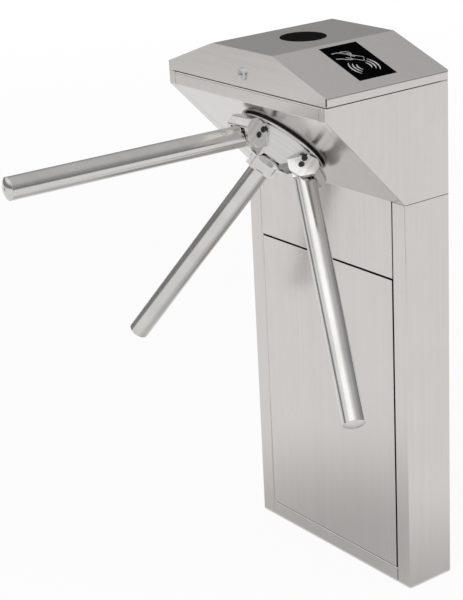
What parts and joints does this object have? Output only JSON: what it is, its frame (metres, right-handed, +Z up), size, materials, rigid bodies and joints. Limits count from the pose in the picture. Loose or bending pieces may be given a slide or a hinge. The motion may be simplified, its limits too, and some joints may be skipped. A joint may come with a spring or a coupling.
{
  "type": "tripod turnstile",
  "caption": "Slim floor-standing tripod turnstile with a leaning head, sloping hub with straight tubular arms, hinged lid with a reader window, and an indexing mechanism inside.",
  "frame": {"origin": "middle of the column's footprint on the floor, at the centre of the anchor holes", "axes": "+Z up; -X is the passage side, where the head and the arms reach out; people walk along Y"},
  "size_m": [0.7189, 0.6823, 0.9803],
  "materials": {
    "brushed_sheet": "brushed stainless steel, satin",
    "polished_steel": "mirror-polished stainless steel",
    "zinc_steel": "bright zinc plate",
    "black_oxide": "black oxide",
    "black_rubber": "matt rubber",
    "black_glass": "black gloss acrylic",
    "housing_plastic": "moulded, matt",
    "board": "solder-masked board",
    "brass_parts": "machined brass",
    "cast_housing": "cast and turned aluminium",
    "solenoid_case": "red oxide paint"
  },
  "bodies": {
    "cabinet": {"base_plate": "zinc_steel", "cable_grommet": "black_rubber", "column_shell": "brushed_sheet", "front_panel": "brushed_sheet", "cabinet_screws": "zinc_steel", "cover_pins": "zinc_steel", "head_shell": "brushed_sheet", "lid_strike": "zinc_steel", "lid_buffers": "black_rubber", "lid_hinge_head_leaves": "zinc_steel", "lid_hinge_pins": "polished_steel", "control_board": "board", "power_supply": "cast_housing", "mount_studs": "zinc_steel", "mechanism_plate": "zinc_steel", "bearing_housing": "cast_housing", "housing_screws": "black_oxide", "frame_pillars": "zinc_steel", "rear_plate": "zinc_steel", "bearing_outer_rings": "polished_steel", "position_sensors": "housing_plastic", "pivot_pins": "zinc_steel", "detent_spring": "polished_steel", "damper_body": "housing_plastic", "solenoid_bodies": "solenoid_case", "hub_seal": "black_rubber"},
    "lid": {"lid": "brushed_sheet", "lid_hinge_lid_leaves": "zinc_steel", "lid_lock_body": "polished_steel", "indicator_window": "black_glass", "indicator_board": "board", "reader_window": "black_glass", "reader_module": "housing_plastic"},
    "lid_lock_plug": {"lid_lock_plug": "zinc_steel"},
    "service_cover": {"service_cover": "brushed_sheet"},
    "cover_latch": {"cover_latch": "zinc_steel"},
    "rotor": {"hub": "polished_steel", "hub_bolt": "zinc_steel", "hub_cap": "polished_steel", "arm_screws": "black_oxide", "arm_1": "polished_steel", "arm_2": "polished_steel", "arm_3": "polished_steel", "arm_caps": "polished_steel", "main_shaft": "zinc_steel", "shaft_spacers": "zinc_steel", "bearing_inner_rings": "polished_steel", "index_cam": "zinc_steel", "lock_wheel": "zinc_steel", "sensor_disc": "black_oxide", "shaft_nut": "zinc_steel"},
    "bearing_balls": {"bearing_balls": "polished_steel", "bearing_cages": "brass_parts"},
    "detent_lever": {"detent_lever": "zinc_steel"},
    "detent_roller": {"detent_roller": "polished_steel"},
    "damper_rod": {"damper_rod": "polished_steel"},
    "pawl_entry": {"pawl_entry": "brass_parts"},
    "pawl_exit": {"pawl_exit": "brass_parts"},
    "plunger_entry": {"plunger_entry": "polished_steel"},
    "plunger_exit": {"plunger_exit": "polished_steel"}
  },
  "joints": [
    {"name": "rotor_turn", "type": "hinge", "parent": "cabinet", "child": "rotor", "pos_m": [-0.13464, 0, 0.80877], "axis": [-0.7237, 0, -0.6901], "continuous": true},
    {"name": "balls_orbit", "type": "hinge", "parent": "cabinet", "child": "bearing_balls", "pos_m": [-0.13464, 0, 0.80877], "axis": [-0.7237, 0, -0.6901], "continuous": true},
    {"name": "lid_hinge", "type": "hinge", "parent": "cabinet", "child": "lid", "pos_m": [0.054, 0, 0.91575], "axis": [0, 1, 0], "range_deg": [0, 95]},
    {"name": "lid_key_turn", "type": "hinge", "parent": "lid", "child": "lid_lock_plug", "pos_m": [-0.214, 0, 0.939], "axis": [-1, 0, 0], "range_deg": [0, 90]},
    {"name": "cover_tilt", "type": "hinge", "parent": "cabinet", "child": "service_cover", "pos_m": [-0.04225, 0, 0.0395], "axis": [0, -1, 0], "range_deg": [0, 4]},
    {"name": "cover_latch_turn", "type": "hinge", "parent": "service_cover", "child": "cover_latch", "pos_m": [-0.03375, 0, 0.571], "axis": [1, 0, 0], "range_deg": [0, 90]},
    {"name": "detent_swing", "type": "hinge", "parent": "cabinet", "child": "detent_lever", "pos_m": [-0.02407, 0.07, 0.83627], "axis": [0.7237, 0, 0.6901], "range_deg": [0, 8], "stiffness_Nm_per_rad": 5, "springref_deg": -17.19, "deforming": ["detent_spring"]},
    {"name": "roller_spin", "type": "hinge", "parent": "detent_lever", "child": "detent_roller", "pos_m": [-0.02841, 0, 0.83213], "axis": [-0.7237, 0, -0.6901], "continuous": true},
    {"name": "damper_slide", "type": "slide", "parent": "cabinet", "child": "damper_rod", "axis": [0.6901, 0, -0.7237], "range_m": [0, 0.013]},
    {"name": "pawl_entry_swing", "type": "hinge", "parent": "cabinet", "child": "pawl_entry", "pos_m": [-0.08582, 0.0626, 0.91118], "axis": [0.7237, 0, 0.6901], "range_deg": [0, 8.9], "stiffness_Nm_per_rad": 0.08, "springref_deg": -28.65},
    {"name": "pawl_exit_swing", "type": "hinge", "parent": "cabinet", "child": "pawl_exit", "pos_m": [-0.08582, -0.0626, 0.91118], "axis": [-0.7237, 0, -0.6901], "range_deg": [0, 8.9], "stiffness_Nm_per_rad": 0.08, "springref_deg": -28.65},
    {"name": "plunger_entry_push", "type": "slide", "parent": "cabinet", "child": "plunger_entry", "axis": [0.6666, -0.2588, -0.6991], "range_m": [0, 0.0048]},
    {"name": "plunger_exit_push", "type": "slide", "parent": "cabinet", "child": "plunger_exit", "axis": [0.6666, 0.2588, -0.6991], "range_m": [0, 0.0048]}
  ],
  "couplings": [
    {"joint": "balls_orbit", "follows": "rotor_turn", "ratio": 0.3972},
    {"joint": "damper_slide", "follows": "detent_swing", "m_per_rad": 0.0905},
    {"joint": "plunger_entry_push", "follows": "pawl_entry_swing", "m_per_rad": 0.03},
    {"joint": "plunger_exit_push", "follows": "pawl_exit_swing", "m_per_rad": 0.03}
  ]
}
